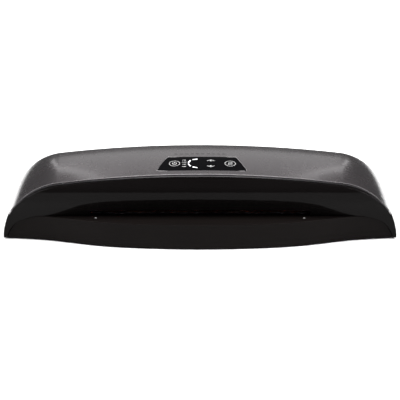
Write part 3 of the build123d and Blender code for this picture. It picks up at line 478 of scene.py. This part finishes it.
def lay_on(piece, target, middle, thickness, turn):
    """Drops a flat shape along a direction onto a CAD node and gives it height."""
    lifted = Vector(middle) + turn @ Vector((0, 0, 12 * MM))
    piece.matrix_world = Matrix.Translation(lifted) @ turn.to_4x4()
    only(piece)
    wrap = piece.modifiers.new("drop", "SHRINKWRAP")
    wrap.target = NODES[target]
    wrap.wrap_method = "PROJECT"
    wrap.use_project_z = True
    wrap.use_negative_direction = True
    wrap.use_positive_direction = False
    wrap.offset = 0.01 * MM
    bpy.ops.object.modifier_apply(modifier=wrap.name)
    thick = piece.modifiers.new("ink", "SOLIDIFY")
    thick.thickness = thickness
    thick.offset = 1.0
    bpy.ops.object.modifier_apply(modifier=thick.name)
    apply_place(piece)
    bpy.ops.object.mode_set(mode="EDIT")
    bpy.ops.mesh.select_all(action="SELECT")
    bpy.ops.mesh.normals_make_consistent(inside=False)
    bpy.ops.object.mode_set(mode="OBJECT")


def flat_ring(name, radius, width, count=64):
    """A flat ring in the XY plane."""
    bpy.ops.object.select_all(action="DESELECT")
    bpy.ops.mesh.primitive_circle_add(vertices=count, radius=radius, fill_type="NGON")
    piece = bpy.context.active_object
    piece.name = name
    bpy.ops.object.mode_set(mode="EDIT")
    bpy.ops.mesh.select_all(action="SELECT")
    bpy.ops.mesh.inset(thickness=width)
    bpy.ops.mesh.delete(type="FACE")
    bpy.ops.object.mode_set(mode="OBJECT")
    return piece


def flat_bar(name, width, length, x=0.0, y=0.0, turn=0.0):
    """A flat bar, cut into short lengths so that it follows a curved surface."""
    bpy.ops.object.select_all(action="DESELECT")
    bpy.ops.mesh.primitive_grid_add(x_subdivisions=2, y_subdivisions=6, size=1)
    piece = bpy.context.active_object
    piece.name = name
    piece.scale = (width, length, 1)
    piece.rotation_euler = (0, 0, turn)
    piece.location = (x, y, 0)
    apply_place(piece)
    return piece


def join(name, pieces):
    """Joins flat shapes into one piece."""
    only(pieces[0])
    for piece in pieces:
        piece.select_set(True)
    bpy.ops.object.join()
    made = bpy.context.active_object
    made.name = name
    return made


def cut_ring(piece, gap_angle):
    """Opens a ring at the top by removing faces within an angle of +Y."""
    only(piece)
    bpy.ops.object.mode_set(mode="EDIT")
    bpy.ops.mesh.select_mode(type="FACE")
    shape = bmesh.from_edit_mesh(piece.data)
    for face in shape.faces:
        middle = face.calc_center_median()
        face.select_set(abs(math.atan2(middle.x, middle.y)) < gap_angle)
    bmesh.update_edit_mesh(piece.data)
    bpy.ops.mesh.delete(type="FACE")
    bpy.ops.object.mode_set(mode="OBJECT")


def flat_triangle(name, radius, x=0.0, y=0.0, turn=0.0):
    """A flat triangle that points along +Y before its turn."""
    bpy.ops.object.select_all(action="DESELECT")
    bpy.ops.mesh.primitive_circle_add(vertices=3, radius=radius, fill_type="NGON")
    piece = bpy.context.active_object
    piece.name = name
    piece.location = (x, y, 0)
    piece.rotation_euler = (0, 0, turn)
    apply_place(piece)
    return piece


def rod_along(name, points, radius, closed):
    """A thin round rod along a line of points, as a mesh."""
    spine = bpy.data.curves.new(name, "CURVE")
    spine.dimensions = "3D"
    line = spine.splines.new("POLY")
    line.points.add(len(points) - 1)
    for target, point in zip(line.points, points):
        target.co = (*point, 1)
    line.use_cyclic_u = closed
    spine.bevel_depth = radius
    spine.bevel_resolution = 3
    spine.use_fill_caps = True
    piece = bpy.data.objects.new(name, spine)
    bpy.context.scene.collection.objects.link(piece)
    only(piece)
    bpy.ops.object.convert(target="MESH")
    piece = bpy.context.active_object
    bpy.ops.object.shade_smooth_by_angle(angle=math.radians(50))
    return piece


def outline(points):
    """The points of a flat set that lie on its convex outline, in order."""
    return [points[i] for i in convex_hull_2d(points)]


def chevron(name, size, stroke, point):
    """Two bars that meet in a point, up or down."""
    lean = math.radians(58)
    shift = size / 2 * math.sin(lean) * 0.96
    return join(name, [
        flat_bar(name + "_left", stroke, size, -shift, 0, -lean * point),
        flat_bar(name + "_right", stroke, size, shift, 0, lean * point),
    ])


# ---------------------------------------------------------------- operators


class LAMINATOR_OT_finishes(bpy.types.Operator):
    """Gives every piece of the machine its finished material"""

    bl_idname = "laminator.finishes"
    bl_label = "Finishes"

    def execute(self, context):
        materials = material_table(context.scene.laminator_casing,
                                   context.scene.laminator_legends)
        for name, piece in NODES.items():
            piece.data.materials.clear()
            piece.data.materials.append(materials[slot_of(name)])
        return {"FINISHED"}


class LAMINATOR_OT_edge(bpy.types.Operator):
    """Lays a rolled lip in the painted highlight colour along the cover's front edge"""

    bl_idname = "laminator.edge"
    bl_label = "Rolled edge"

    def execute(self, context):
        settings = context.scene.laminator_casing
        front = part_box("top_cover")[0].y
        rim = [Vector((v.co.x, v.co.z)) for v in NODES["top_cover"].data.vertices
               if v.co.y < front + 0.05 * MM]
        if len(rim) < 8:
            raise RuntimeError("the cover has no front rim")
        line = outline(rim)
        turn = max(range(len(line)), key=lambda i: (line[i] - line[i - 1]).length)
        line = line[turn:] + line[:turn]
        if line[0].x > line[-1].x:
            line.reverse()
        inset = settings.edge_radius * 0.9
        top = max(p.y for p in line)
        points = [(p.x * (1 - inset / line[-1].x), front + inset, p.y - inset * p.y / top)
                  for p in line]
        # The lip carries the painted highlight colour in place of the light caught by the
        # cover's front edge.
        piece = rod_along("painted_highlight_edge", points, settings.edge_radius, False)
        finish_piece(piece, painted_highlight_edge(settings), body_of_node("top_cover"))
        return {"FINISHED"}


class LAMINATOR_OT_rim(bpy.types.Operator):
    """Lays a fine rim in the painted highlight colour round the control panel"""

    bl_idname = "laminator.rim"
    bl_label = "Panel rim"

    def execute(self, context):
        settings = context.scene.laminator_casing
        turn = panel_turn()
        back = turn.transposed()
        flat = [back @ v.co for v in NODES["panel_lens"].data.vertices]
        edge = outline([Vector((p.x, p.y)) for p in flat])
        points = []
        for place in edge:
            high = max(p.z for p in flat if (Vector((p.x, p.y)) - place).length < 0.05 * MM)
            points.append(turn @ Vector((place.x, place.y, high)))
        # The rim carries the painted highlight colour in place of the light caught by the edge
        # round the panel.
        piece = rod_along("panel_highlight_rim", points, settings.rim_radius, True)
        finish_piece(piece, painted_highlight_edge(settings), body_of_node("panel_lens"))
        return {"FINISHED"}


class LAMINATOR_OT_legends(bpy.types.Operator):
    """Prints the generic signs on the keys and the panel"""

    bl_idname = "laminator.legends"
    bl_label = "Legends"

    def execute(self, context):
        settings = context.scene.laminator_legends
        ink = printed_ink(settings)
        turn = panel_turn()
        stroke = settings.stroke
        ring = settings.ring_radius

        power = flat_ring("power_sign", 3.3 * MM, stroke, 40)
        cut_ring(power, math.radians(32))
        power = join("power_legend", [
            power, flat_bar("power_bar", stroke, 3.2 * MM, 0, 2.2 * MM),
            flat_ring("power_ring", ring, settings.ring_width)])
        arrows = []
        for way in (-1, 1):
            height = 1.9 * MM * way
            arrows.append(flat_bar("arrow_bar", 5.0 * MM, stroke, -0.6 * MM * way, height))
            arrows.append(flat_triangle("arrow_head", 1.4 * MM, 2.6 * MM * way, height,
                                        -math.radians(90) * way))
        reverse = join("reverse_legend", arrows + [
            flat_ring("reverse_ring", ring, settings.ring_width)])
        up = join("up_legend", [
            chevron("up_roof", settings.arrow_size, stroke, 1),
            flat_triangle("up_head", 1.9 * MM, 0, -1.6 * MM)])
        down = join("down_legend", [
            chevron("down_roof", settings.arrow_size, stroke, -1),
            flat_triangle("down_head", 1.9 * MM, 0, 1.6 * MM, math.radians(180))])
        for piece, key in ((power, "key_power"), (reverse, "key_reverse"),
                           (up, "key_up"), (down, "key_down")):
            lay_on(piece, key, panel_top(key), settings.ink_thickness, turn)
            finish_piece(piece, ink, body_of_node(key))
        middle = panel_top("panel_lens")
        rows = []
        for row, width in enumerate(settings.row_widths):
            rows.append(flat_bar("row", width, 1.0 * MM, settings.row_x,
                                 (1.5 - row) * settings.row_pitch))
            rows.append(flat_bar("row_dot", 1.0 * MM, 1.0 * MM,
                                 settings.row_x - width / 2 - 1.3 * MM,
                                 (1.5 - row) * settings.row_pitch))
        column = join("level_legends", rows)
        lay_on(column, "panel_lens", middle, settings.ink_thickness, turn)
        finish_piece(column, ink, body_of_node("panel_lens"))
        return {"FINISHED"}


class LAMINATOR_OT_marks(bpy.types.Operator):
    """Prints the two small sheet marks on the feed shelf"""

    bl_idname = "laminator.marks"
    bl_label = "Sheet marks"

    def execute(self, context):
        settings = context.scene.laminator_legends
        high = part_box("feed_shelf")[1]
        marks = join("sheet_marks", [
            flat_triangle("mark", settings.mark_radius, side * settings.mark_x, 0)
            for side in (-1, 1)])
        middle = Vector((0, settings.mark_y, high.z))
        lay_on(marks, "feed_shelf", middle, settings.ink_thickness, Matrix.Identity(3))
        finish_piece(marks, printed_ink(settings),
                     body_of_node("feed_shelf"))
        return {"FINISHED"}


class LAMINATOR_OT_springs(bpy.types.Operator):
    """Gives each pressure spring node its own copy of its mesh"""

    bl_idname = "laminator.springs"
    bl_label = "Pressure springs"

    def execute(self, context):
        for name, joint in (("hot_springs", "hot_nip_lift"),
                            ("exit_springs", "exit_nip_lift")):
            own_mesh(NODES[name])
        return {"FINISHED"}


def area_lamp(name, place, aim, width, height, power):
    """A rectangular soft lamp at a place, turned to face an aim."""
    light = bpy.data.lights.new(name, "AREA")
    light.shape = "RECTANGLE"
    light.size = width
    light.size_y = height
    light.energy = power
    lamp = bpy.data.objects.new(name, light)
    bpy.context.scene.collection.objects.link(lamp)
    lamp.location = place
    way = Vector(aim) - Vector(place)
    lamp.rotation_euler = way.to_track_quat("-Z", "Y").to_euler()
    return lamp


class LAMINATOR_OT_stage(bpy.types.Operator):
    """Sets the pale floor, the soft lights and the camera"""

    bl_idname = "laminator.stage"
    bl_label = "Stage"

    def execute(self, context):
        settings = context.scene.laminator_stage
        bpy.ops.object.select_all(action="DESELECT")
        bpy.ops.mesh.primitive_plane_add(size=settings.floor_size)
        floor = context.active_object
        floor.name = "floor"
        material, tree, shader = new_material("pale_floor")
        tone = noise(tree, object_coordinates(tree, (1, 1, 1)), 0.6, 2.0)
        colour = tuple(settings.floor_colour)
        tree.links.new(ramp(tree, tone, shade(colour, 0.99), shade(colour, 1.01)),
                       shader.inputs["Base Color"])
        shader.inputs["Roughness"].default_value = 0.9
        shader.inputs["Specular IOR Level"].default_value = 0.1
        floor.data.materials.append(material)

        lamps = [
            area_lamp("back_softbox", (0, 1.75, 1.45), (0, 0, 0.1), 1.32, 1.35, 5.2),
            area_lamp("back_edge_left", (-0.70, 1.72, 1.45), (0, 0, 0.1), 0.10, 1.35, 1.1),
            area_lamp("back_edge_right", (0.70, 1.72, 1.45), (0, 0, 0.1), 0.10, 1.35, 1.1),
            area_lamp("overhead", (0, 0.0, 1.8), (0, 0, 0), 2.2, 1.2, 34.0),
            area_lamp("floor_wash_left", (-2.6, -0.4, 2.6), (-0.6, 0.3, 0), 2.2, 2.2, 160.0),
            area_lamp("floor_wash_right", (2.6, -0.4, 2.6), (0.6, 0.3, 0), 2.2, 2.2, 160.0),
        ]

        world = bpy.data.worlds.new("studio")
        context.scene.world = world
        world.use_nodes = True
        backdrop = next(n for n in world.node_tree.nodes if n.type == "BACKGROUND")
        backdrop.inputs["Color"].default_value = (1, 1, 1, 1)
        backdrop.inputs["Strength"].default_value = settings.world_light

        lens = bpy.data.cameras.new("camera")
        lens.lens = settings.camera_lens
        lens.sensor_width = 36.0
        camera = bpy.data.objects.new("camera", lens)
        context.scene.collection.objects.link(camera)
        camera.location = (0, -settings.camera_distance, settings.camera_height)
        camera.rotation_euler = (math.radians(90) - settings.camera_tilt, 0, 0)
        context.scene.camera = camera
        context.scene.view_settings.view_transform = "Standard"
        return {"FINISHED"}


class LAMINATOR_PT_panel(bpy.types.Panel):
    """Buttons and settings of the laminator's dressing"""

    bl_idname = "LAMINATOR_PT_panel"
    bl_label = "Pouch Laminator"
    bl_space_type = "VIEW_3D"
    bl_region_type = "UI"
    bl_category = "Laminator"

    def draw(self, context):
        for operator in OPERATORS:
            self.layout.operator(operator.bl_idname)
        scene = context.scene
        for group in (scene.laminator_casing, scene.laminator_legends,
                      scene.laminator_stage):
            box = self.layout.box()
            for name in group.bl_rna.properties.keys():
                if name not in ("name", "rna_type"):
                    box.prop(group, name)


OPERATORS = (LAMINATOR_OT_finishes, LAMINATOR_OT_edge, LAMINATOR_OT_rim,
             LAMINATOR_OT_legends, LAMINATOR_OT_marks, LAMINATOR_OT_springs,
             LAMINATOR_OT_stage)
SETTINGS = (CasingSettings, LegendSettings, StageSettings)


def register():
    """Adds the settings, operators and panel."""
    for made in (*SETTINGS, *OPERATORS, LAMINATOR_PT_panel):
        bpy.utils.register_class(made)
    bpy.types.Scene.laminator_casing = PointerProperty(type=CasingSettings)
    bpy.types.Scene.laminator_legends = PointerProperty(type=LegendSettings)
    bpy.types.Scene.laminator_stage = PointerProperty(type=StageSettings)


def unregister():
    """Takes the settings, operators and panel away again."""
    del bpy.types.Scene.laminator_stage
    del bpy.types.Scene.laminator_legends
    del bpy.types.Scene.laminator_casing
    for made in reversed((*SETTINGS, *OPERATORS, LAMINATOR_PT_panel)):
        bpy.utils.unregister_class(made)


def main():
    """Registers the add-on and runs every operator in order."""
    register()
    for operator in OPERATORS:
        group, action = operator.bl_idname.split(".")
        result = getattr(getattr(bpy.ops, group), action)()
        if result != {"FINISHED"}:
            raise RuntimeError(operator.bl_idname + " did not finish")


if __name__ == "__main__":
    main()
